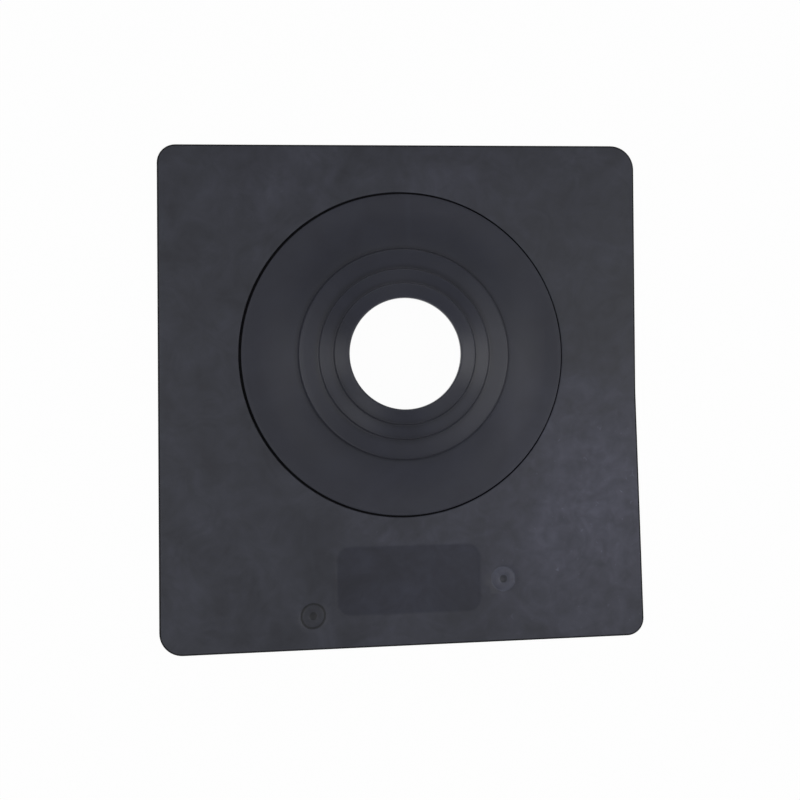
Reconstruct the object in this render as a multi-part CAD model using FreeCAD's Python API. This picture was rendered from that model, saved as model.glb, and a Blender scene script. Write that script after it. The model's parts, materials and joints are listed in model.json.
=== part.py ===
import FreeCAD, Part
import math
import os
from FreeCAD import Vector

# Pipe flashing boot: a rigid flange with a flexible stepped collar bonded into its opening.
# Millimetres and degrees. The origin is the middle of the flange's underside, +Z is up
# out of the roof and +Y points up the slope. The collar stands off-centre, up the slope.

# ---------------------------------------------------------------- driving dimensions

# Flange: a moulded thermoplastic plate
flange_width = 304.8             # across the slope, X
flange_length = 317.5            # along the slope, Y
flange_thickness = 3.2
corner_radius = 14.0             # plan radius of the four corners
edge_bevel = 0.8                 # bevel on the upper outer edge
collar_offset = 25.4             # collar axis, up the slope from the flange's middle

# Joint between the flange and the collar
opening_radius = 103.2           # round opening in the flange
opening_bevel = 0.4              # bevel on the opening's upper edge
joint_gap = 2.4                  # open groove between the opening and the collar's rim
tongue_lap = 7.0                 # how far the collar's tongue reaches under the flange
tongue_thickness = 1.2
tongue_clearance = 0.3           # radial, between the tongue and its rebate

# Collar: a flexible moulding of even wall, a bell with three steps and a sealing lip
collar_wall = 2.2
rim_land = 7.0                   # flat ring around the foot of the bell
flare_radius = 36.0              # hollow curve from the land into the bell's slope
bell_slope = 30.0
outer_band_width = 12.7          # bands between the steps, measured square to the axis
outer_band_slope = 8.0
middle_band_width = 9.4
middle_band_slope = 24.0
inner_band_width = 9.9
inner_band_slope = 28.0
step_height = 2.4                # rise of each of the three steps
step_lean = 15.0                 # steps lean in from the vertical by this much
step_bevel = 0.8                 # on the outward corners of the steps, above and below
rim_bevel = 0.5
pipe_hole_radius = 34.0          # stretches over the pipe, which is about a third larger
lip_length = 6.0                 # height of the wall that grips the pipe
lip_thickness = 2.8
lip_bevel = 0.7                  # on the lip's upper edge and its two lower ones

# Marks that the moulding tool leaves on the flange's upper face
panel_width = 91.5               # smooth sunk panel below the collar
panel_length = 43.0
panel_corner_radius = 6.0
panel_depth = 0.4
panel_below_collar = 142.7       # collar axis to the middle of the panel
panel_offset = 2.4               # the panel sits a little right of the collar axis
insert_radius = 8.0              # round tool inserts
insert_groove = 1.3
insert_pit_radius = 2.4
insert_depth = 0.4
left_insert = (-58.2, -138.0)
right_insert = (63.0, -118.7)

# ---------------------------------------------------------------- sizes that follow

collar_rim_radius = opening_radius - joint_gap
tongue_radius = opening_radius + tongue_lap
rebate_radius = tongue_radius + tongue_clearance
collar_axis = Vector(0, collar_offset, 0)
up = Vector(0, 0, 1)


# ---------------------------------------------------------------- drawing helpers

def tan(degrees):
    return math.tan(math.radians(degrees))


def sharp(point):
    return (point, 0, "bevel")


def bevelled(point, leg):
    return (point, leg, "bevel")


def rounded(point, radius):
    return (point, radius, "round")


def corner_reach(before, corner, after):
    """Length that a corner's rounding or bevel takes from each of its two sides."""
    point, size, style = corner
    if style == "bevel":
        return size
    turn = (point - before).getAngle(after - point)
    return size * math.tan(turn / 2)


def outline(corners):
    """Closed wire through the corners, each rounded or bevelled as far as its sides allow."""
    count = len(corners)
    points = [corner[0] for corner in corners]
    reaches = [
        corner_reach(points[i - 1], corners[i], points[(i + 1) % count]) for i in range(count)
    ]
    shares = [1.0] * count
    for i in range(count):
        room = 0.98 * points[i].distanceToPoint(points[i - 1])
        taken = reaches[i] + reaches[i - 1]
        if taken > room:
            shares[i] = min(shares[i], room / taken)
            shares[i - 1] = min(shares[i - 1], room / taken)

    edges = []
    ends = []
    for i in range(count):
        point = points[i]
        reach = reaches[i] * shares[i]
        back = (points[i - 1] - point).normalize()
        ahead = (points[(i + 1) % count] - point).normalize()
        ends.append((point + back * reach, point + ahead * reach))
        if reach > 0 and corners[i][2] == "bevel":
            edges.append(Part.makeLine(ends[i][0], ends[i][1]))
        elif reach > 0:
            half_angle = back.getAngle(ahead) / 2
            radius = reach * math.tan(half_angle)
            to_arc = radius / math.sin(half_angle) - radius
            middle = point + (back + ahead).normalize() * to_arc
            edges.append(Part.Arc(ends[i][0], middle, ends[i][1]).toShape())
        if i > 0:
            edges.append(Part.makeLine(ends[i - 1][1], ends[i][0]))
    edges.append(Part.makeLine(ends[-1][1], ends[0][0]))
    return Part.Wire(Part.__sortEdges__(edges))


def rounded_block(width, length, height, radius, centre):
    """Block with rounded upright corners, standing on its centre point."""
    x = width / 2
    y = length / 2
    corners = [
        rounded(centre + Vector(x, y, 0), radius),
        rounded(centre + Vector(-x, y, 0), radius),
        rounded(centre + Vector(-x, -y, 0), radius),
        rounded(centre + Vector(x, -y, 0), radius),
    ]
    return Part.Face(outline(corners)).extrude(up * height)


def section_point(radius, height):
    return Vector(radius, 0, height)


def line_crossing(point_a, along_a, point_b, along_b):
    """Where two lines in the collar's section cross."""
    gap = point_b - point_a
    spread = along_a.x * along_b.z - along_a.z * along_b.x
    reach = (gap.x * along_b.z - gap.z * along_b.x) / spread
    return point_a + along_a * reach


# ---------------------------------------------------------------- collar

def collar_skin():
    """Corners of the collar's upper surface, from the rim's edge in to the lip's edge."""
    inner_step = pipe_hole_radius + inner_band_width
    middle_step = inner_step + middle_band_width
    outer_step = middle_step + outer_band_width
    step_depth = step_height * tan(step_lean)

    flare_reach = flare_radius * tan(bell_slope / 2)
    flare_corner = collar_rim_radius - rim_land - flare_reach

    skin = [section_point(collar_rim_radius, flange_thickness)]
    skin.append(section_point(flare_corner, flange_thickness))
    height = flange_thickness + (flare_corner - outer_step) * tan(bell_slope)
    bands = [
        (outer_step, middle_step, outer_band_slope),
        (middle_step, inner_step, middle_band_slope),
        (inner_step, pipe_hole_radius, inner_band_slope),
    ]
    for foot, next_foot, slope in bands:
        crest = foot - step_depth
        skin.append(section_point(foot, height))
        skin.append(section_point(crest, height + step_height))
        height = height + step_height + (crest - next_foot) * tan(slope)
    skin.append(section_point(pipe_hole_radius, height))
    return skin


def collar_lining(skin):
    """Corners of the collar's underside, one wall below the skin, from the bell's foot inwards."""
    lines = []
    for start, end in zip(skin[1:-1], skin[2:]):
        along = (end - start).normalize()
        inwards = Vector(-along.z, 0, along.x)
        lines.append((start + inwards * collar_wall, along))

    ground = (section_point(0, 0), Vector(1, 0, 0))
    lip_back = (section_point(pipe_hole_radius + lip_thickness, 0), up)
    lines = [ground] + lines + [lip_back]
    return [
        line_crossing(first[0], first[1], second[0], second[1])
        for first, second in zip(lines[:-1], lines[1:])
    ]


def make_collar():
    """Bell, steps and lip turned from one section, with the tongue that goes under the flange."""
    skin = collar_skin()
    lining = collar_lining(skin)
    lip_bottom = skin[-1].z - lip_length

    corners = [
        sharp(section_point(tongue_radius, 0)),
        sharp(section_point(tongue_radius, tongue_thickness)),
        sharp(section_point(collar_rim_radius, tongue_thickness)),
        bevelled(skin[0], rim_bevel),
        rounded(skin[1], flare_radius),
    ]
    for foot, crest in zip(skin[2:-1:2], skin[3:-1:2]):
        corners.append(sharp(foot))
        corners.append(bevelled(crest, step_bevel))
    corners.append(bevelled(skin[-1], lip_bevel))
    corners.append(bevelled(section_point(pipe_hole_radius, lip_bottom), lip_bevel))
    corners.append(bevelled(section_point(pipe_hole_radius + lip_thickness, lip_bottom), lip_bevel))
    corners.append(sharp(lining[-1]))
    for crest, foot in zip(lining[-2:0:-2], lining[-3:0:-2]):
        corners.append(sharp(crest))
        corners.append(bevelled(foot, step_bevel))
    corners.append(rounded(lining[0], flare_radius + collar_wall))

    section = Part.Face(outline(corners))
    collar = section.revolve(Vector(0, 0, 0), up, 360)
    collar.translate(collar_axis)
    return collar


# ---------------------------------------------------------------- flange

def insert_mark(place):
    """Ring groove and centre pit that a round tool insert leaves in the upper face."""
    floor = Vector(place[0], place[1], flange_thickness - insert_depth)
    ring = Part.makeCylinder(insert_radius, insert_depth, floor)
    island = Part.makeCylinder(insert_radius - insert_groove, insert_depth, floor)
    pit = Part.makeCylinder(insert_pit_radius, insert_depth, floor)
    return [ring.cut(island), pit]


def make_flange():
    """Plate with rounded corners, a rebated round opening, the sunk panel and insert marks."""
    plate = rounded_block(flange_width, flange_length, flange_thickness, corner_radius, Vector())
    top_edges = [edge for edge in plate.Edges if edge.BoundBox.ZMin > flange_thickness / 2]
    plate = plate.makeChamfer(edge_bevel, top_edges)

    opening = Part.makeCylinder(opening_radius, flange_thickness, collar_axis)
    rebate = Part.makeCylinder(rebate_radius, tongue_thickness, collar_axis)
    plate = plate.cut(opening)
    opening_edges = [
        edge for edge in plate.Edges
        if edge.BoundBox.ZMin > flange_thickness / 2
        and isinstance(edge.Curve, Part.Circle)
        and abs(edge.Curve.Radius - opening_radius) < 0.001
    ]
    plate = plate.makeChamfer(opening_bevel, opening_edges)
    plate = plate.cut(rebate)

    panel_floor = flange_thickness - panel_depth
    panel_centre = Vector(panel_offset, collar_offset - panel_below_collar, panel_floor)
    panel = rounded_block(panel_width, panel_length, panel_depth, panel_corner_radius, panel_centre)
    marks = insert_mark(left_insert) + insert_mark(right_insert)
    return plate.cut([panel] + marks)


# ---------------------------------------------------------------- export

os.makedirs("parts", exist_ok=True)
make_flange().exportStep("parts/flange.step")
make_collar().exportStep("parts/collar.step")
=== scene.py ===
import json
import math
import bmesh
import bpy
from mathutils import Matrix, Vector, geometry, noise


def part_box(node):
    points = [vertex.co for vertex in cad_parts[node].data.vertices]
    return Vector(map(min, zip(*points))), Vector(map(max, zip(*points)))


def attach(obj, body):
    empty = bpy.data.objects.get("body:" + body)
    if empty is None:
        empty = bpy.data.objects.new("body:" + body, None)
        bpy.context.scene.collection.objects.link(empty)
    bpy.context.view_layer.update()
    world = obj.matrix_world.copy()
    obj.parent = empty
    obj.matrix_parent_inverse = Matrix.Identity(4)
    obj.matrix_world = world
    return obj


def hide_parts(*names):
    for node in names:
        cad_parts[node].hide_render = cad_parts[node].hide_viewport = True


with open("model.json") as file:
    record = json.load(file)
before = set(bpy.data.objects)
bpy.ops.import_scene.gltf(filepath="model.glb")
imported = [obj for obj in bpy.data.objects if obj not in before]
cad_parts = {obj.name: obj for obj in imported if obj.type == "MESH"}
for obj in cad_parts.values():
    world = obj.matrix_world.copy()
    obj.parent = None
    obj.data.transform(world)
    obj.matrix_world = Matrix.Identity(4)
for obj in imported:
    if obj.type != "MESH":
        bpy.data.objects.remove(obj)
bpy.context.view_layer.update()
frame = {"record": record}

# Looks of the pipe flashing boot: a moulded plastic flange and the flexible collar bonded
# into it. Metres, in the CAD frame: the origin is the middle of the flange's underside,
# +Z is up out of the roof and +Y points up the slope. Both pieces are remade here from the
# CAD sizes, with true small rounds, the slight unevenness of a moulding, and their finish.
# What is softer or otherwise unlike the CAD is listed under "Finer shape".

MM = 0.001

# ---------------------------------------------------------------- sizes, from the frame

flange_low, flange_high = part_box("flange")
collar_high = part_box("collar")[1]
pipe_lip = next(mount for mount in frame["record"]["mounts"] if mount["name"] == "pipe_lip")

flange_width = flange_high.x - flange_low.x
flange_length = flange_high.y - flange_low.y
flange_thickness = flange_high.z
collar_axis = Vector(pipe_lip["pos_m"][:2])
pipe_hole_radius = pipe_lip["dims"]["r_mm"] * MM
tongue_radius = collar_high.x

# Sizes that the frame doesn't give, as the part's source has them
tongue_lap = 7.0 * MM
tongue_thickness = 1.2 * MM
tongue_clearance = 0.3 * MM
joint_gap = 2.4 * MM
collar_wall = 2.2 * MM
rim_land = 7.0 * MM
step_height = 2.4 * MM
step_lean = math.radians(15)
lip_length = 6.0 * MM
lip_thickness = 2.8 * MM
outer_band_width = 12.7 * MM
outer_band_slope = math.radians(8)
middle_band_width = 9.4 * MM
middle_band_slope = math.radians(24)
inner_band_width = 9.9 * MM
inner_band_slope = math.radians(28)
panel_size = (91.5 * MM, 43.0 * MM)
panel_centre = collar_axis + Vector((2.4, -142.7)) * MM
insert_radius = 8.0 * MM
insert_groove = 1.3 * MM
insert_pit_radius = 2.4 * MM
left_insert = Vector((-58.2, -138.0)) * MM
right_insert = Vector((63.0, -118.7)) * MM

# Rise from the flange's face to the foot of the outer step, which the part's source gets
# from a straight slope of 30 degrees. The hollow bell made here keeps it.
bell_rise = 10.48 * MM

# Finer shape that is only made here, or that differs from the CAD
corner_radii = [radius * MM for radius in (15.5, 11.4, 14.6, 11.2)]  # anticlockwise from +X +Y
edge_skew = 0.0075               # slope by which the flange's outline is out of square
lower_right_swell = 0.0275       # its right edge swings out below the middle at this slope
lower_edge_sag = 0.5 * MM        # its lower edge lies this much further down the slope
edge_reach = 30 * MM             # the outline's faults die out this far in
edge_round = 1.2 * MM            # round on the flange's upper outer edge
foot_round = 0.3 * MM            # and on its lower one
opening_round = 0.5 * MM
mark_depth = 0.25 * MM           # of the panel and insert marks, less than in the CAD
insert_draft = 0.35 * MM         # width of the insert marks' soft edges
panel_radii = [8.5 * MM] * 4     # rounder than in the CAD
panel_draft = 2.0 * MM           # width of the panel's soft sloping edge
bell_slope = math.radians(38)    # at the outer step, where the hollow bell is steepest
crest_round = 1.5 * MM           # outward corners of the collar's steps
crease_rounds = [4.0 * MM, 1.6 * MM, 1.6 * MM]   # feet of the steps, from the outer one in
lining_round = 0.35 * MM         # inward corners of the collar's underside
crease_shade_reach = 1.6 * MM          # about how far the painted shade in the creases reaches
lip_round = 0.8 * MM
rim_round = 0.6 * MM
joint_depth = 0.9 * MM           # below this depth the joint's faces get painted shade in place of their shadow
tongue_trim = 0.4 * MM           # room for the collar's tongue to sit off-centre
rim_bulge = 1.35 * MM            # the soft rim swells into the joint by this
opening_shift = Vector((0.5, 0.0)) * MM      # of the moulded opening off the collar axis
collar_shift = Vector((1.1, 0.0, 0.0)) * MM  # the collar is bonded in slightly off-centre
lip_lean = Vector((-1.8, -0.9, 0.0)) * MM    # and the soft bell leans by this at its lip
ripple_height = 0.22 * MM        # unevenness of the moulded flange
ripple_length = 85 * MM
ripple_start = Vector((3.7, 1.2, 5.1))       # place in the noise field, in ripple lengths
fade_length = 12 * MM            # the unevenness dies out over this, near edges and opening

# How finely the meshes are divided
round_points = 320               # points round the opening and the collar
insert_points = 48               # points round each ring of an insert mark
grid_spacing = 4.0 * MM          # between points of the flange's upper face
edge_margin = 3.0 * MM           # these points keep this far from the flange's edges
mark_margin = 2.0 * MM           # and this far from the panel's edge and the insert marks
flat_height = 0.002 * MM         # triangles flatter than this are only rounding faults
section_run = 3.0 * MM           # longest straight run in the collar's section
section_arc_step = 1.5 * MM      # and longest step along its rounds
sharp_angle = math.radians(40)   # edges that turn more than this stay crisp

opening_centre = collar_axis + opening_shift
opening_radius = tongue_radius - tongue_lap
rebate_radius = tongue_radius + tongue_clearance
collar_rim_radius = opening_radius - joint_gap
swollen_rim_radius = collar_rim_radius + rim_bulge


# ---------------------------------------------------------------- mesh helpers

def ease(value):
    """0 to 1 with level ends."""
    share = min(max(value, 0.0), 1.0)
    return share * share * (3 - 2 * share)


def circle(centre, radius, count=round_points):
    """Points round a circle, anticlockwise from +X."""
    turn = 2 * math.pi / count
    return [
        centre + Vector((math.cos(i * turn), math.sin(i * turn))) * radius
        for i in range(count)
    ]


def rounded_rectangle(centre, size, radii, inset=0.0, side_points=72, arc_points=12):
    """Points round a rectangle with rounded corners, anticlockwise from +X +Y."""
    half = Vector(size) / 2
    arcs = []
    for i, (side_x, side_y) in enumerate([(1, 1), (-1, 1), (-1, -1), (1, -1)]):
        middle = centre + Vector((side_x * (half.x - radii[i]), side_y * (half.y - radii[i])))
        angles = [(i + k / arc_points) * math.pi / 2 for k in range(arc_points + 1)]
        arcs.append([
            middle + Vector((math.cos(angle), math.sin(angle))) * (radii[i] - inset)
            for angle in angles
        ])
    points = []
    for arc, following in zip(arcs, arcs[1:] + arcs[:1]):
        points += arc
        points += [arc[-1].lerp(following[0], k / side_points) for k in range(1, side_points)]
    return points


def inside_rectangle(point, centre, size, radii):
    """How far a point lies inside a rounded rectangle, negative outside it."""
    offset = point - centre
    if offset.y >= 0:
        radius = radii[0] if offset.x >= 0 else radii[1]
    else:
        radius = radii[2] if offset.x < 0 else radii[3]
    reach_x = abs(offset.x) - size[0] / 2 + radius
    reach_y = abs(offset.y) - size[1] / 2 + radius
    outside = math.hypot(max(reach_x, 0), max(reach_y, 0))
    return radius - outside - min(max(reach_x, reach_y), 0)


def round_drop(inset, radius):
    """How far a rounded edge lies below its face, at an inset from the edge."""
    if inset >= radius:
        return 0.0
    return radius - math.sqrt(max(radius * radius - (radius - inset) ** 2, 0))


def join_rings(faces, ring_a, ring_b):
    """Quads between two closed rings of vertex numbers."""
    count = len(ring_a)
    for i in range(count):
        k = (i + 1) % count
        faces.append((ring_a[i], ring_a[k], ring_b[k], ring_b[i]))


def face_outwards(mesh):
    """Turns every face of a closed mesh to look out of it."""
    shape = bmesh.new()
    shape.from_mesh(mesh)
    bmesh.ops.recalc_face_normals(shape, faces=shape.faces)
    shape.to_mesh(mesh)
    shape.free()


def make_piece(name, vertices, faces, node):
    """Mesh object that stands for a CAD node and rides with its body."""
    mesh = bpy.data.meshes.new(name)
    mesh.from_pydata([tuple(vertex) for vertex in vertices], [], faces)
    mesh.validate()
    face_outwards(mesh)
    mesh.shade_smooth()
    mesh.set_sharp_from_angle(angle=sharp_angle)
    piece = bpy.data.objects.new(name, mesh)
    bpy.context.scene.collection.objects.link(piece)
    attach(piece, "root")
    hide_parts(node)
    return piece


def add_mask(mesh, name, share):
    """Point attribute that tells a finish where something is and how strong it is there."""
    attribute = mesh.attributes.new(name, "FLOAT", "POINT")
    values = [share(vertex.co.to_2d()) for vertex in mesh.vertices]
    attribute.data.foreach_set("value", values)


def paint_joint_shade(mesh):
    """Paints shade on the faces deep in the groove between flange and collar, as their own finish.
    """
    mesh.materials.append(joint_painted_shade())
    shade_number = len(mesh.materials) - 1
    for face in mesh.polygons:
        radius = (face.center.to_2d() - opening_centre).length
        in_groove = collar_rim_radius < radius < rebate_radius
        if in_groove and tongue_thickness / 2 < face.center.z < flange_thickness - joint_depth:
            face.material_index = shade_number


def paint_edge_shade(mesh):
    """Paints shade on the flange's rounded outer edge and its wall, as their own duller finish."""
    mesh.materials.append(edge_painted_shade())
    shade_number = len(mesh.materials) - 1
    for face in mesh.polygons:
        if flange_inset(face.center.to_2d()) < edge_round and face.center.z > foot_round:
            face.material_index = shade_number


# ---------------------------------------------------------------- flange

def flange_inset(point):
    """How far a point lies in from the flange's edge, before the outline's drift."""
    return inside_rectangle(point, Vector((0, 0)), (flange_width, flange_length), corner_radii)


def flange_loop(inset):
    """Points round the flange, this far in from its edge."""
    size = (flange_width, flange_length)
    return rounded_rectangle(Vector((0, 0)), size, corner_radii, inset)


def panel_share(point):
    """0 outside the sunk panel, 1 on its floor."""
    inset = inside_rectangle(point, panel_centre, panel_size, panel_radii)
    return ease(inset / panel_draft + 0.5)


def insert_share(point, centre):
    """1 in the ring groove and centre pit of a tool insert's mark, 0 elsewhere."""
    radius = (point - centre).length
    groove = insert_groove / 2 - abs(radius - insert_radius + insert_groove / 2)
    pit = insert_pit_radius - radius
    return max(ease(groove / insert_draft + 0.5), ease(pit / insert_draft + 0.5))


def ripple(point):
    """Gentle unevenness of the upper face, level near the opening and the edges."""
    place = Vector((point.x, point.y, 0)) / ripple_length
    from_opening = (point - opening_centre).length - rebate_radius
    room = ease(from_opening / fade_length) * ease(flange_inset(point) / fade_length)
    return ripple_height * noise.noise(place + ripple_start) * room


def outline_drift(point):
    """How far the moulded flange departs from a true rectangle near its edges."""
    share = ease(1 - flange_inset(point) / edge_reach)
    drift = Vector((point.y, point.x, 0)) * edge_skew
    if point.x > 0:
        drift.x += lower_right_swell * max(-point.y, 0) * ease(point.x / flange_high.x)
    if point.y < 0:
        drift.y -= lower_edge_sag
    return drift * share


def flange_top(point):
    """Height of the flange's upper face."""
    height = flange_thickness + ripple(point)
    height -= round_drop(flange_inset(point), edge_round)
    height -= round_drop((point - opening_centre).length - opening_radius, opening_round)
    marks = [panel_share(point)]
    marks += [insert_share(point, centre) for centre in (left_insert, right_insert)]
    height -= mark_depth * max(marks)
    return height


def triangle_height(corners):
    """Height of a triangle over its longest side, near 0 where the corners are in line."""
    first, second, third = corners
    longest = max((first - second).length, (second - third).length, (third - first).length)
    return 2 * geometry.area_tri(first, second, third) / longest


def filled(loops, loose_points):
    """Delaunay triangles over loops of points and loose points.

    Gives the points, the triangles' corner numbers and the inputs behind each point.
    """
    points = []
    edges = []
    for loop in loops:
        first = len(points)
        points += loop
        edges += [(first + i, first + (i + 1) % len(loop)) for i in range(len(loop))]
    points += loose_points
    result = geometry.delaunay_2d_cdt(points, edges, [], 0, 1e-7)
    points = result[0]
    faces = [face for face in result[2] if triangle_height([points[i] for i in face]) > flat_height]
    return points, faces, result[3]


def outside_circle(points, face, radius):
    """Whether a face lies outside a circle of chords round the opening's centre."""
    middle = sum((points[i] for i in face), Vector((0, 0))) / len(face)
    return (middle - opening_centre).length > radius * math.cos(math.pi / round_points)


def outline_loops():
    """Loops along the flange's edge and over its round."""
    return [flange_loop(share * edge_round) for share in (0.0, 0.08, 0.3, 0.62, 1.0, 1.9)]


def opening_loops():
    """Loops along the opening's edge and over its round."""
    radii = [opening_radius + share * opening_round for share in (0.0, 0.1, 0.4, 1.0, 2.4)]
    return [circle(opening_centre, radius) for radius in radii]


def insert_ring_radii():
    """Radii of the loops that carry the insert marks' edges."""
    radii = []
    for edge in (insert_radius, insert_radius - insert_groove, insert_pit_radius):
        radii += [edge + 0.5 * insert_draft, edge, edge - 0.5 * insert_draft]
    return radii


def mark_loops():
    """Loops along the edges of the sunk panel and of the insert marks."""
    insets = [share * panel_draft for share in (-0.5, -0.2, 0.2, 0.5)]
    loops = [
        rounded_rectangle(
            panel_centre, panel_size, panel_radii, inset, side_points=36, arc_points=8
        )
        for inset in insets
    ]
    for centre in (left_insert, right_insert):
        loops += [circle(centre, radius, insert_points) for radius in insert_ring_radii()]
    return loops


def clear_of_edges(point):
    """Whether a point keeps its distance from every loop of the upper face."""
    from_opening = (point - opening_centre).length - opening_radius
    from_panel = inside_rectangle(point, panel_centre, panel_size, panel_radii)
    from_inserts = min((point - centre).length for centre in (left_insert, right_insert))
    return (
        flange_inset(point) > edge_margin
        and from_opening > edge_margin
        and abs(from_panel) > mark_margin
        and from_inserts > insert_radius + mark_margin
    )


def grid_points():
    """Even points that fill the upper face between its loops."""
    column_count = int(flange_width / grid_spacing)
    row_count = int(flange_length / grid_spacing)
    columns = [flange_low.x + (i + 0.5) * grid_spacing for i in range(column_count)]
    rows = [flange_low.y + (i + 0.5) * grid_spacing for i in range(row_count)]
    points = [Vector((x, y)) for x in columns for y in rows]
    return [point for point in points if clear_of_edges(point)]


def upper_face():
    """Vertices and faces of the upper face, with the vertex numbers of its two borders."""
    outlines = outline_loops()
    openings = opening_loops()
    points, triangles, sources = filled(outlines + openings + mark_loops(), grid_points())
    vertices = [Vector((point.x, point.y, flange_top(point))) for point in points]
    faces = [tuple(face) for face in triangles if outside_circle(points, face, opening_radius)]

    number_of = {source: number for number, merged in enumerate(sources) for source in merged}
    outline_count = len(outlines[0])
    opening_start = outline_count * len(outlines)
    outline_ring = [number_of[i] for i in range(outline_count)]
    opening_ring = [number_of[opening_start + i] for i in range(round_points)]
    return vertices, faces, outline_ring, opening_ring


def add_ring(vertices, points, height):
    """Adds a level ring of vertices and gives their numbers."""
    first = len(vertices)
    vertices.extend(Vector((point.x, point.y, height)) for point in points)
    return list(range(first, len(vertices)))


def underside(vertices, outer_ring, inner_ring):
    """Faces of the flat underside, from its outer edge in to the rebate."""
    loops = [[vertices[i].to_2d() for i in ring] for ring in (outer_ring, inner_ring)]
    points, triangles, sources = filled(loops, [])
    numbers = outer_ring + inner_ring
    return [
        tuple(numbers[sources[i][0]] for i in reversed(face))
        for face in triangles
        if outside_circle(points, face, rebate_radius)
    ]


def flange_mesh():
    """Vertices and faces of the closed flange, before its outline drifts."""
    vertices, faces, outline_ring, opening_ring = upper_face()

    wall_foot = add_ring(vertices, flange_loop(0.0), foot_round)
    foot_middle = add_ring(vertices, flange_loop(0.0), 0.3 * foot_round)
    foot_edge = add_ring(vertices, flange_loop(foot_round), 0.0)
    join_rings(faces, outline_ring, wall_foot)
    join_rings(faces, wall_foot, foot_middle)
    join_rings(faces, foot_middle, foot_edge)

    rebate_edge = add_ring(vertices, circle(opening_centre, rebate_radius), 0.0)
    rebate_corner = add_ring(vertices, circle(opening_centre, rebate_radius), tongue_thickness)
    opening_foot = add_ring(vertices, circle(opening_centre, opening_radius), tongue_thickness)
    join_rings(faces, rebate_edge, rebate_corner)
    join_rings(faces, rebate_corner, opening_foot)
    join_rings(faces, opening_foot, opening_ring)

    faces += underside(vertices, foot_edge, rebate_edge)
    return vertices, faces


def build_flange():
    """The flange with its finish, and last the drift of its outline."""
    vertices, faces = flange_mesh()
    piece = make_piece("flange_plate", vertices, faces, "flange")
    add_mask(piece.data, "panel", panel_share)
    add_mask(piece.data, "insert_tone", insert_tone)
    piece.data.materials.append(flange_plastic())
    paint_joint_shade(piece.data)
    paint_edge_shade(piece.data)
    for vertex in piece.data.vertices:
        vertex.co += outline_drift(vertex.co.to_2d())


def insert_tone(point):
    """Below 0 where an insert mark is darker than the flange, above 0 where it is paler."""
    from_left = (point - left_insert).length
    from_right = (point - right_insert).length
    if from_left < insert_pit_radius or 0 <= insert_radius - from_left < insert_groove:
        return left_ring_tone
    if from_left < insert_radius:
        return left_disc_tone
    if from_right < insert_pit_radius:
        return right_pit_tone
    if from_right < insert_radius:
        return right_disc_tone
    return 0.0


# ---------------------------------------------------------------- collar

def section_point(radius, height):
    """Point of the collar's section."""
    return Vector((radius, 0.0, height))


def rounded_section(corners):
    """Closed section through corners, each rounded as far as its two sides allow."""
    count = len(corners)
    places = [place for place, radius in corners]
    backs = [(places[i - 1] - places[i]).normalized() for i in range(count)]
    half_angles = [backs[i].angle(-backs[(i + 1) % count]) / 2 for i in range(count)]
    reaches = [corners[i][1] / math.tan(half_angles[i]) for i in range(count)]
    shares = [1.0] * count
    for i in range(count):
        room = 0.98 * (places[i - 1] - places[i]).length
        taken = reaches[i - 1] + reaches[i]
        if taken > room:
            shares[i - 1] = min(shares[i - 1], room / taken)
            shares[i] = min(shares[i], room / taken)

    points = []
    for i in range(count):
        radius = corners[i][1] * shares[i]
        if radius <= 0:
            points.append(places[i])
            continue
        back = backs[i]
        ahead = -backs[(i + 1) % count]
        reach = reaches[i] * shares[i]
        centre = places[i] + (back + ahead).normalized() * radius / math.sin(half_angles[i])
        start = (places[i] + back * reach - centre).normalized()
        end = (places[i] + ahead * reach - centre).normalized()
        arc_length = radius * (math.pi - 2 * half_angles[i])
        steps = max(4, math.ceil(arc_length / section_arc_step))
        points += [centre + start.slerp(end, k / steps) * radius for k in range(steps + 1)]
    return points


def divided(points):
    """The same closed section with its long runs divided."""
    result = []
    for point, following in zip(points, points[1:] + points[:1]):
        pieces = max(1, math.ceil((following - point).length / section_run))
        result += [point.lerp(following, k / pieces) for k in range(pieces)]
    return result


def step_feet():
    """Radii of the three steps' feet, from the outer one in."""
    inner = pipe_hole_radius + inner_band_width
    middle = inner + middle_band_width
    return [middle + outer_band_width, middle, inner]


def flare_corner():
    """Radius where the land and the bell's steepest slope would meet."""
    return step_feet()[0] + bell_rise / math.tan(bell_slope)


def flare_radius():
    """Radius of the bell's hollow curve, which starts at the land's inner edge."""
    return (collar_rim_radius - rim_land - flare_corner()) / math.tan(bell_slope / 2)


def collar_skin():
    """Corners of the collar's upper surface, from the rim's edge in to the lip's edge."""
    outer_step, middle_step, inner_step = step_feet()
    step_depth = step_height * math.tan(step_lean)

    skin = [section_point(swollen_rim_radius, flange_thickness)]
    skin.append(section_point(flare_corner(), flange_thickness))
    height = flange_thickness + bell_rise
    bands = [
        (outer_step, middle_step, outer_band_slope),
        (middle_step, inner_step, middle_band_slope),
        (inner_step, pipe_hole_radius, inner_band_slope),
    ]
    for foot, next_foot, slope in bands:
        crest = foot - step_depth
        skin.append(section_point(foot, height))
        skin.append(section_point(crest, height + step_height))
        height += step_height + (crest - next_foot) * math.tan(slope)
    skin.append(section_point(pipe_hole_radius, height))
    return skin


def line_crossing(point_a, along_a, point_b, along_b):
    """Where two lines in the collar's section cross."""
    gap = point_b - point_a
    turn = along_a.x * along_b.z - along_a.z * along_b.x
    return point_a + along_a * (gap.x * along_b.z - gap.z * along_b.x) / turn


def collar_lining(skin):
    """Corners of the underside, one wall below the skin, from the bell's foot inwards."""
    lines = [(section_point(0, 0), Vector((1, 0, 0)))]
    for start, end in zip(skin[1:-1], skin[2:]):
        along = (end - start).normalized()
        lines.append((start + Vector((-along.z, 0, along.x)) * collar_wall, along))
    lines.append((section_point(pipe_hole_radius + lip_thickness, 0), Vector((0, 0, 1))))
    return [line_crossing(*first, *second) for first, second in zip(lines[:-1], lines[1:])]


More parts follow.
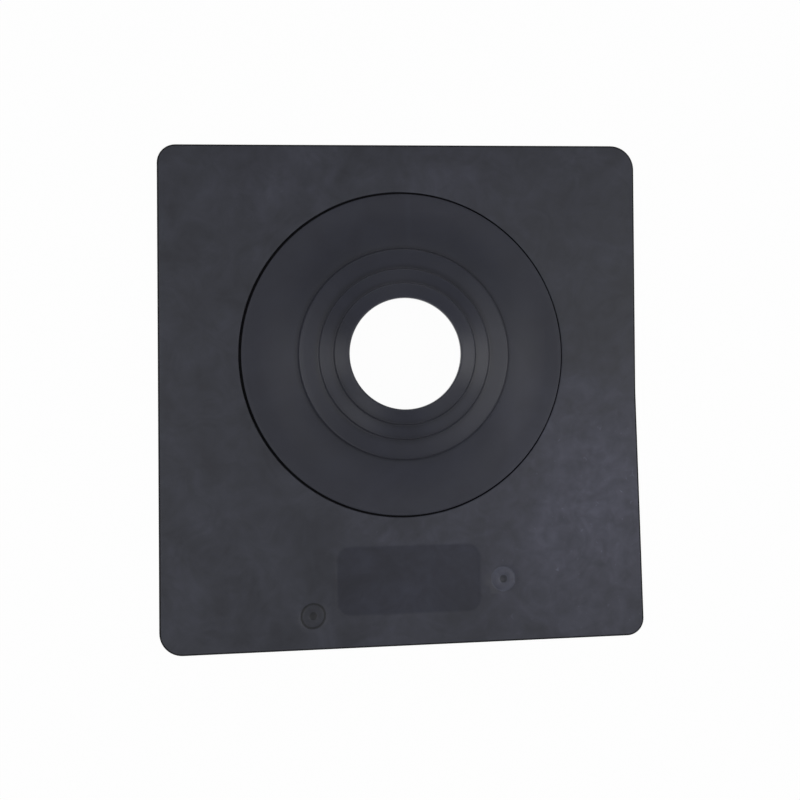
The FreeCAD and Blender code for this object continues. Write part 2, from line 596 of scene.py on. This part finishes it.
def collar_section():
    """Closed section of the collar, rounded and evenly divided."""
    skin = collar_skin()
    lining = collar_lining(skin)
    lip_bottom = skin[-1].z - lip_length
    corners = [
        (section_point(tongue_radius - tongue_trim, 0), 0),
        (section_point(tongue_radius - tongue_trim, tongue_thickness), 0),
        (section_point(swollen_rim_radius, tongue_thickness), 0),
        (skin[0], rim_round),
        (skin[1], flare_radius()),
    ]
    for foot, crest, crease_round in zip(skin[2:-1:2], skin[3:-1:2], crease_rounds):
        corners.append((foot, crease_round))
        corners.append((crest, crest_round))
    corners.append((skin[-1], lip_round))
    corners.append((section_point(pipe_hole_radius, lip_bottom), lip_round))
    corners.append((section_point(pipe_hole_radius + lip_thickness, lip_bottom), lip_round))
    corners.append((lining[-1], lining_round))
    for crest, foot in zip(lining[-2:0:-2], lining[-3:0:-2]):
        corners.append((crest, lining_round))
        corners.append((foot, crest_round))
    corners.append((lining[0], flare_radius() + collar_wall))
    return divided(rounded_section(corners))


def in_bands(point):
    """1 on the stepped bands, 0 on the bell, with a millimetre between."""
    radius = (point - collar_axis).length
    return ease((step_feet()[0] - radius) / MM + 0.5)


def crease_shade_share(point):
    """1 where shade is painted in the creases at the feet of the steps, 0 away from them."""
    radius = (point - collar_axis).length
    middles = [foot + 0.2 * crease_shade_reach for foot in step_feet()]
    nearest = min(abs(radius - middle) for middle in middles)
    return ease(1.3 - nearest / crease_shade_reach)


def collar_drift(height):
    """How far the leaning collar stands off its axis at a height."""
    rise = (height - flange_thickness) / (collar_high.z - flange_thickness)
    return collar_shift + lip_lean * max(rise, 0)


def build_collar():
    """The collar turned from its section, leaning at the lip, with its finish."""
    vertices = []
    rings = []
    for point in collar_section():
        rings.append(add_ring(vertices, circle(collar_axis, point.x), point.z))
    for vertex in vertices:
        vertex += collar_drift(vertex.z)
    faces = []
    for ring, following in zip(rings, rings[1:] + rings[:1]):
        join_rings(faces, ring, following)
    piece = make_piece("collar_boot", vertices, faces, "collar")
    add_mask(piece.data, "bands", in_bands)
    add_mask(piece.data, "crease_shade", crease_shade_share)
    piece.data.materials.append(collar_rubber())
    paint_joint_shade(piece.data)


# ---------------------------------------------------------------- finishes

flange_colour = (0.0355, 0.038, 0.0525)
panel_colour = (0.024, 0.026, 0.042)
collar_colour = (0.026, 0.028, 0.043)
# Painted shade: the next two colours darken the deep joint and the flange's outer edge in place of
# their shadow
joint_shade_colour = (0.012, 0.012, 0.014)
edge_shade_colour = (0.020, 0.021, 0.024)
# Painted sheen: pale bluish patches that stand in for a broad sheen of light, strongest at the
# lower right
sheen_colour = (0.066, 0.068, 0.098)
sheen_patches = [                 # centre, reach and strength of each pale patch of painted sheen
    (Vector((125, -78, 0)) * MM, 115 * MM, 1.0),
    (Vector((-78, 138, 0)) * MM, 45 * MM, 0.26),
    (Vector((30, 142, 0)) * MM, 55 * MM, 0.3),
    (Vector((-5, -90, 0)) * MM, 50 * MM, 0.36),
    (Vector((0, -150, 0)) * MM, 60 * MM, 0.2),
]
sheen_limit = 0.85                # the patches together are no stronger than this
sheen_heights = (1.4 * MM, 2.4 * MM)  # no painted sheen below the first, full painted sheen above the second
highlight_line_x = 5 * MM               # X of the faint painted highlight line up the bell
highlight_line_widths = (0.4 * MM, 2.6 * MM)   # the line is full this near and gone this far
highlight_line_ends = (-40 * MM, -25 * MM)     # it fades in over this, in Y from the collar's rim

# Tones of the insert marks, from -1, much darker than the flange, to 1, much paler
left_ring_tone = -1.0            # the left mark's groove and pit
left_disc_tone = -0.4
right_pit_tone = -0.5
right_disc_tone = 0.8            # the right mark's disc and groove


def start_material(name):
    """Empty node material, with its tree and output node."""
    material = bpy.data.materials.new(name)
    material.use_nodes = True
    tree = material.node_tree
    tree.nodes.clear()
    output = tree.nodes.new("ShaderNodeOutputMaterial")
    return material, tree, output


def add_node(tree, kind, links=(), **settings):
    """Node with its attributes and socket values set, and its inputs linked."""
    made = tree.nodes.new(kind)
    for name, value in settings.items():
        socket = name.replace("_", " ").title().replace("Ior", "IOR")
        if socket in made.inputs:
            made.inputs[socket].default_value = value
        else:
            setattr(made, name, value)
    for name, socket in links:
        tree.links.new(socket, made.inputs[name])
    return made


def noise_share(tree, place, size, detail=3.0, roughness=0.55, distortion=0.0):
    """Noise from 0 to 1 whose blots are about this size, in metres."""
    made = add_node(
        tree, "ShaderNodeTexNoise", [("Vector", place)],
        scale=1 / size, detail=detail, roughness=roughness, distortion=distortion,
    )
    return made.outputs["Fac"]


def spread(tree, value, low, high, to_low, to_high):
    """Value mapped from one range to another, held at its ends."""
    made = add_node(
        tree, "ShaderNodeMapRange", [("Value", value)],
        from_min=low, from_max=high, to_min=to_low, to_max=to_high,
    )
    return made.outputs["Result"]


def varied(tree, noise_value, low, high):
    """Noise stretched so that its usual run covers a range."""
    return spread(tree, noise_value, 0.3, 0.7, low, high)


def between(tree, share, at_none, at_full):
    """A share from 0 to 1 turned into a value between two others."""
    return spread(tree, share, 0, 1, at_none, at_full)


def combine(tree, operation, first, second):
    """Two values or sockets put through a maths node."""
    made = add_node(tree, "ShaderNodeMath", operation=operation)
    for socket, value in zip(made.inputs, (first, second)):
        if isinstance(value, (int, float)):
            socket.default_value = value
        else:
            tree.links.new(value, socket)
    return made.outputs["Value"]


def tinted(tree, colour, strength):
    """A colour made lighter or darker by a share."""
    made = add_node(tree, "ShaderNodeVectorMath", [(1, strength)], operation="MULTIPLY")
    if isinstance(colour, tuple):
        made.inputs[0].default_value = colour
    else:
        tree.links.new(colour, made.inputs[0])
    return made.outputs["Vector"]


def blended(tree, share, first, second):
    """Colour that goes from the first to the second as the share goes from 0 to 1."""
    made = add_node(tree, "ShaderNodeMix", data_type="RGBA")
    tree.links.new(share, made.inputs[0])
    for socket, colour in ((made.inputs[6], first), (made.inputs[7], second)):
        if isinstance(colour, tuple):
            socket.default_value = (*colour, 1)
        else:
            tree.links.new(colour, socket)
    return made.outputs[2]


def sheen_share(tree, place, mottle):
    """Strength of the painted sheen that lies in pale patches on the upper side."""
    total = None
    for centre, reach, strength in sheen_patches:
        away = add_node(tree, "ShaderNodeVectorMath", [(0, place)], operation="DISTANCE")
        away.inputs[1].default_value = centre
        share = spread(tree, away.outputs["Value"], 0, reach, strength, 0)
        total = share if total is None else combine(tree, "ADD", total, share)
    height = add_node(tree, "ShaderNodeSeparateXYZ", [("Vector", place)]).outputs["Z"]
    total = combine(tree, "MULTIPLY", total, spread(tree, height, *sheen_heights, 0, 1))
    total = combine(tree, "MINIMUM", total, sheen_limit)
    return combine(tree, "MULTIPLY", total, varied(tree, mottle, 0.7, 1.3))


def dust_flecks(tree, place, sheen):
    """Brightens small specks of dust, most of them where the painted sheen is."""
    specks = spread(tree, noise_share(tree, place, 3.5 * MM, 1.0, 0.4, 0.8), 0.71, 0.82, 0, 1)
    share = combine(tree, "MULTIPLY", specks, combine(tree, "ADD", sheen, 0.1))
    return between(tree, share, 1, 1.8)


def highlight_line_share(tree, place):
    """1 on the painted highlight line up the bell, on the side up the slope, 0 away from it."""
    parts = add_node(tree, "ShaderNodeSeparateXYZ", [("Vector", place)]).outputs
    from_line = combine(tree, "ABSOLUTE", combine(tree, "SUBTRACT", parts["X"], highlight_line_x), 0)
    across = spread(tree, from_line, *highlight_line_widths, 1, 0)
    rim = collar_axis.y + collar_rim_radius
    up_slope = spread(tree, parts["Y"], rim + highlight_line_ends[0], rim + highlight_line_ends[1], 0, 1)
    return combine(tree, "MULTIPLY", across, up_slope)


def mask(tree, name):
    """Value of one of the point attributes that add_mask makes."""
    return add_node(tree, "ShaderNodeAttribute", attribute_name=name).outputs["Fac"]


def flange_plastic():
    """Matte charcoal thermoplastic, faintly mottled where the melt flowed, with painted sheen in
    pale patches.
    """
    material, tree, output = start_material("flange_plastic")
    place = add_node(tree, "ShaderNodeTexCoord").outputs["Object"]
    clouds = noise_share(tree, place, 60 * MM, 3.0, 0.5, 1.6)
    flow = noise_share(tree, place, 26 * MM, 2.0, 0.5, 3.0)
    mottle = noise_share(tree, place, 9 * MM, 3.0, 0.5, 0.6)
    grain = noise_share(tree, place, 0.9 * MM, 2.0)

    shade = combine(
        tree, "MULTIPLY",
        varied(tree, clouds, 0.80, 1.20),
        varied(tree, mottle, 0.94, 1.06),
    )
    shade = combine(tree, "MULTIPLY", shade, varied(tree, flow, 0.88, 1.12))
    tone = spread(tree, mask(tree, "insert_tone"), -1, 1, 0.3, 1.7)
    shade = combine(tree, "MULTIPLY", shade, tone)
    colour = blended(tree, mask(tree, "panel"), flange_colour, panel_colour)
    # Painted sheen in pale patches, weaker in the panel
    sheen_outside_panel = between(tree, mask(tree, "panel"), 1, 0.2)
    sheen = combine(tree, "MULTIPLY", sheen_share(tree, place, mottle), sheen_outside_panel)
    colour = blended(tree, sheen, colour, sheen_colour)
    shade = combine(tree, "MULTIPLY", shade, dust_flecks(tree, place, sheen))

    rough = combine(
        tree, "ADD",
        varied(tree, clouds, 0.46, 0.54),
        varied(tree, grain, -0.03, 0.03),
    )
    relief = combine(tree, "ADD", combine(tree, "MULTIPLY", grain, 0.4), mottle)
    bump = add_node(tree, "ShaderNodeBump", [("Height", relief)], strength=0.35, distance=0.06 * MM)
    shader = add_node(tree, "ShaderNodeBsdfPrincipled", [
        ("Base Color", tinted(tree, colour, shade)),
        ("Roughness", rough),
        ("Normal", bump.outputs["Normal"]),
    ])
    tree.links.new(shader.outputs["BSDF"], output.inputs["Surface"])
    return material


def collar_rubber():
    """Smooth satin black elastomer, glossier on the stepped bands, with painted shade in the
    creases, a painted highlight line and painted sheen.
    """
    material, tree, output = start_material("collar_rubber")
    place = add_node(tree, "ShaderNodeTexCoord").outputs["Object"]
    clouds = noise_share(tree, place, 45 * MM, 3.0, 0.5, 1.2)
    mottle = noise_share(tree, place, 9 * MM, 3.0, 0.6, 0.6)
    grain = noise_share(tree, place, 0.6 * MM, 2.0)
    # Painted shade in the creases
    shade = combine(
        tree, "MULTIPLY",
        varied(tree, clouds, 0.88, 1.12),
        between(tree, mask(tree, "crease_shade"), 1, 0.7),
    )
    # Painted highlight line up the bell
    shade = combine(tree, "MULTIPLY", shade, between(tree, highlight_line_share(tree, place), 1, 1.12))
    # Painted sheen, weaker than on the flange
    sheen = combine(tree, "MULTIPLY", sheen_share(tree, place, mottle), 0.4)
    colour = blended(tree, sheen, collar_colour, sheen_colour)
    rough = combine(
        tree, "ADD",
        between(tree, mask(tree, "bands"), 0.54, 0.38),
        varied(tree, grain, -0.03, 0.03),
    )
    bump = add_node(tree, "ShaderNodeBump", [("Height", grain)], strength=0.2, distance=0.04 * MM)
    shader = add_node(tree, "ShaderNodeBsdfPrincipled", [
        ("Base Color", tinted(tree, colour, shade)),
        ("Roughness", rough),
        ("Normal", bump.outputs["Normal"]),
    ])
    tree.links.new(shader.outputs["BSDF"], output.inputs["Surface"])
    return material


def painted_shade_finish(name, colour, specular):
    """Dark rough surface, slightly uneven in tone, for painted shade."""
    material, tree, output = start_material(name)
    place = add_node(tree, "ShaderNodeTexCoord").outputs["Object"]
    shade = varied(tree, noise_share(tree, place, 4 * MM), 0.7, 1.3)
    shader = add_node(
        tree, "ShaderNodeBsdfPrincipled", [("Base Color", tinted(tree, colour, shade))],
        roughness=0.9, specular_ior_level=specular,
    )
    tree.links.new(shader.outputs["BSDF"], output.inputs["Surface"])
    return material


def joint_painted_shade():
    """Painted shade: dull black in the deep groove between the mouldings, where shadow falls."""
    return painted_shade_finish("joint_painted_shade", joint_shade_colour, 0.1)


def edge_painted_shade():
    """Painted shade on the flange's outer edge, duller and darker than its faces, where its rounded
    side lies in shadow.
    """
    return painted_shade_finish("edge_painted_shade", edge_shade_colour, 0.2)


def floor_white():
    """White floor that the camera sees as plain white, with a faint shadow left on it."""
    material, tree, output = start_material("floor_white")
    diffuse = add_node(tree, "ShaderNodeBsdfDiffuse", color=(0.9, 0.9, 0.9, 1))
    glow = add_node(tree, "ShaderNodeEmission", color=(1, 1, 1, 1), strength=1.0)
    rays = add_node(tree, "ShaderNodeLightPath").outputs
    seen = combine(tree, "MAXIMUM", rays["Is Camera Ray"], rays["Is Glossy Ray"])
    seen = combine(tree, "MAXIMUM", seen, rays["Is Transmission Ray"])
    share = combine(tree, "MULTIPLY", seen, floor_glow)
    mix = add_node(tree, "ShaderNodeMixShader", [("Fac", share)])
    tree.links.new(diffuse.outputs["BSDF"], mix.inputs[1])
    tree.links.new(glow.outputs["Emission"], mix.inputs[2])
    tree.links.new(mix.outputs["Shader"], output.inputs["Surface"])
    return material


# ---------------------------------------------------------------- studio

floor_reach = 6.0                # from the middle to each side
floor_gap = 0.1 * MM             # the floor lies this far below the flange
floor_glow = 0.975               # share of the floor's look that takes no shadow
horizon_light = 1.0
overhead_light = 0.24
lamp_distance = 1.2
lamp_size = 0.6
lamps = [                        # name, bearing from +X and elevation in degrees, power in watts
    ("right_low", 0, 25, 1.7),
    ("right_middle", 0, 45, 0.9),
    ("right_high", 0, 66, 1.3),
    ("left_low", 180, 25, 1.6),
    ("left_high", 180, 60, 1.4),
    ("front_right", 315, 40, 0.55),
    ("front_left", 235, 40, 1.0),
    ("back", 90, 40, 0.3),
]
camera_place = Vector((-66.6, -8.4, 633.9)) * MM
camera_aim = Vector((-1.4, -3.4, 0)) * MM
camera_roll = math.radians(-0.86)


def make_floor():
    """Wide level square under the object, which belongs to the stage."""
    reach = floor_reach
    corners = [(-reach, -reach, 0), (reach, -reach, 0), (reach, reach, 0), (-reach, reach, 0)]
    mesh = bpy.data.meshes.new("floor")
    mesh.from_pydata(corners, [], [(0, 1, 2, 3)])
    floor = bpy.data.objects.new("floor", mesh)
    floor.location.z = flange_low.z - floor_gap
    bpy.context.scene.collection.objects.link(floor)
    mesh.materials.append(floor_white())


def soft_light(name, bearing, elevation, power):
    """Square lamp that faces the middle of the object."""
    flat = math.cos(math.radians(elevation))
    place = Vector((
        flat * math.cos(math.radians(bearing)),
        flat * math.sin(math.radians(bearing)),
        math.sin(math.radians(elevation)),
    )) * lamp_distance
    lamp = bpy.data.lights.new(name, "AREA")
    lamp.size = lamp_size
    lamp.energy = power
    holder = bpy.data.objects.new(name, lamp)
    holder.location = place
    holder.rotation_euler = place.to_track_quat("Z", "Y").to_euler()
    holder.visible_camera = False
    bpy.context.scene.collection.objects.link(holder)


def make_world():
    """Pale all round at the horizon, dimmer overhead."""
    world = bpy.data.worlds.new("studio")
    world.use_nodes = True
    tree = world.node_tree
    background = tree.nodes["Background"]
    direction = add_node(tree, "ShaderNodeTexCoord").outputs["Generated"]
    height = add_node(tree, "ShaderNodeSeparateXYZ", [("Vector", direction)]).outputs["Z"]
    background.inputs["Color"].default_value = (1, 1, 1, 1)
    strength = spread(tree, height, 0.05, 0.2, horizon_light, overhead_light)
    tree.links.new(strength, background.inputs["Strength"])
    bpy.context.scene.world = world


def make_camera():
    """Above the object, a little to its left, turned slightly."""
    back = (camera_place - camera_aim).normalized()
    right = Vector((0, 1, 0)).cross(back).normalized()
    upward = back.cross(right)
    facing = Matrix((right, upward, back)).transposed().to_4x4()
    lens = bpy.data.cameras.new("camera")
    lens.sensor_width = 36
    lens.lens = 45
    camera = bpy.data.objects.new("camera", lens)
    roll = Matrix.Rotation(camera_roll, 4, "Z")
    camera.matrix_world = Matrix.Translation(camera_place) @ facing @ roll
    bpy.context.scene.collection.objects.link(camera)
    bpy.context.scene.camera = camera


# ---------------------------------------------------------------- the scene

build_flange()
build_collar()

make_floor()
make_world()
make_camera()
for name, bearing, elevation, power in lamps:
    soft_light(name, bearing, elevation, power)
bpy.context.scene.view_settings.view_transform = "Standard"
